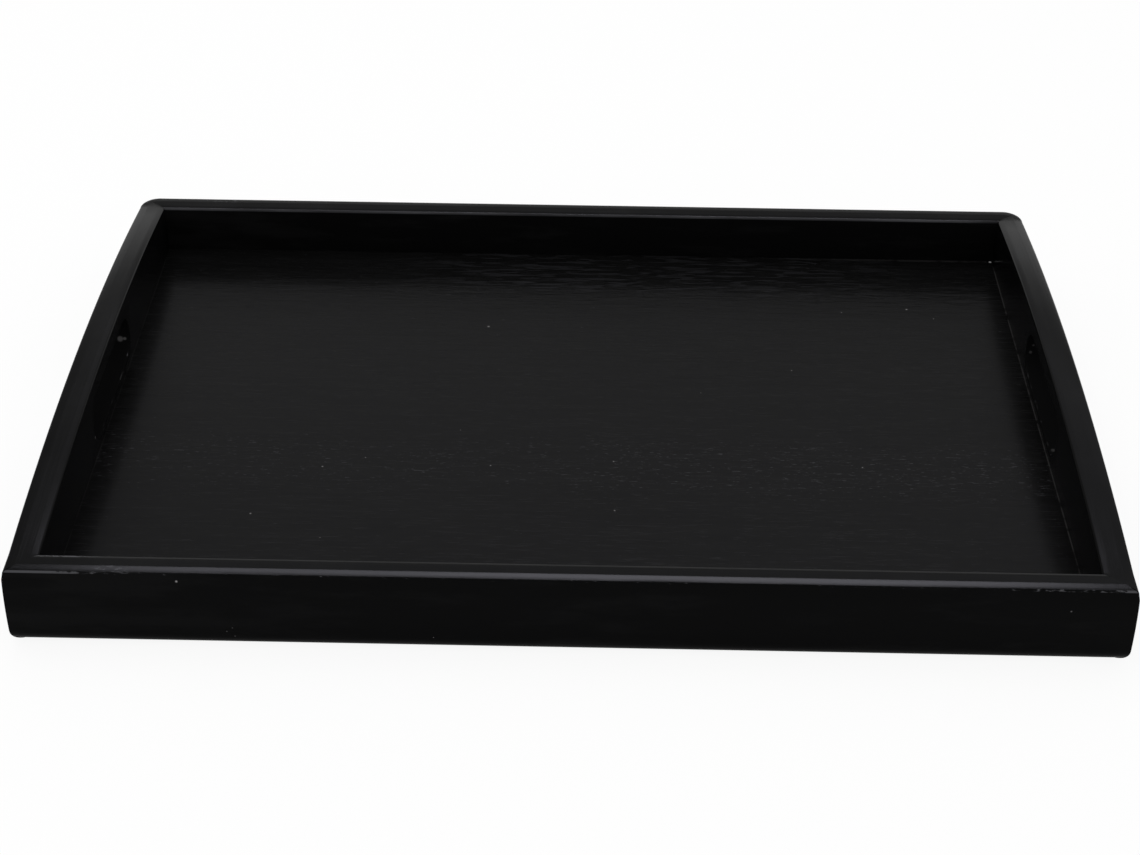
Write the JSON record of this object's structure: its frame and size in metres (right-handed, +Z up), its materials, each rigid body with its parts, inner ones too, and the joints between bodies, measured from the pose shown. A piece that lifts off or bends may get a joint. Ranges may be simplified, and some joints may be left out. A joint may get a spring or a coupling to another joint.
{
  "type": "tea tray",
  "caption": "Rectangular black-lacquered wooden tea tray: a flat base panel held in mitred rails, with end boards that rise to a low arch and have a finger slot to carry it by.",
  "frame": {"origin": "middle of the tray on the surface that it stands on", "axes": "+X along the long side, to the right end board; +Y to the back rail; +Z up"},
  "size_m": [0.45, 0.3, 0.0463],
  "materials": {
    "rail_lacquer": "black satin lacquer over solid wood",
    "floor_lacquer": "thin black lacquer over open-pored veneer",
    "bare_wood": "bare wood, hidden inside"
  },
  "bodies": {
    "root": {"front_rail": "rail_lacquer", "back_rail": "rail_lacquer", "left_end": "rail_lacquer", "right_end": "rail_lacquer", "base_core": "bare_wood", "floor_veneer": "floor_lacquer", "backing_veneer": "floor_lacquer", "front_left_tongue": "bare_wood", "front_right_tongue": "bare_wood", "back_left_tongue": "bare_wood", "back_right_tongue": "bare_wood"}
  },
  "joints": []
}
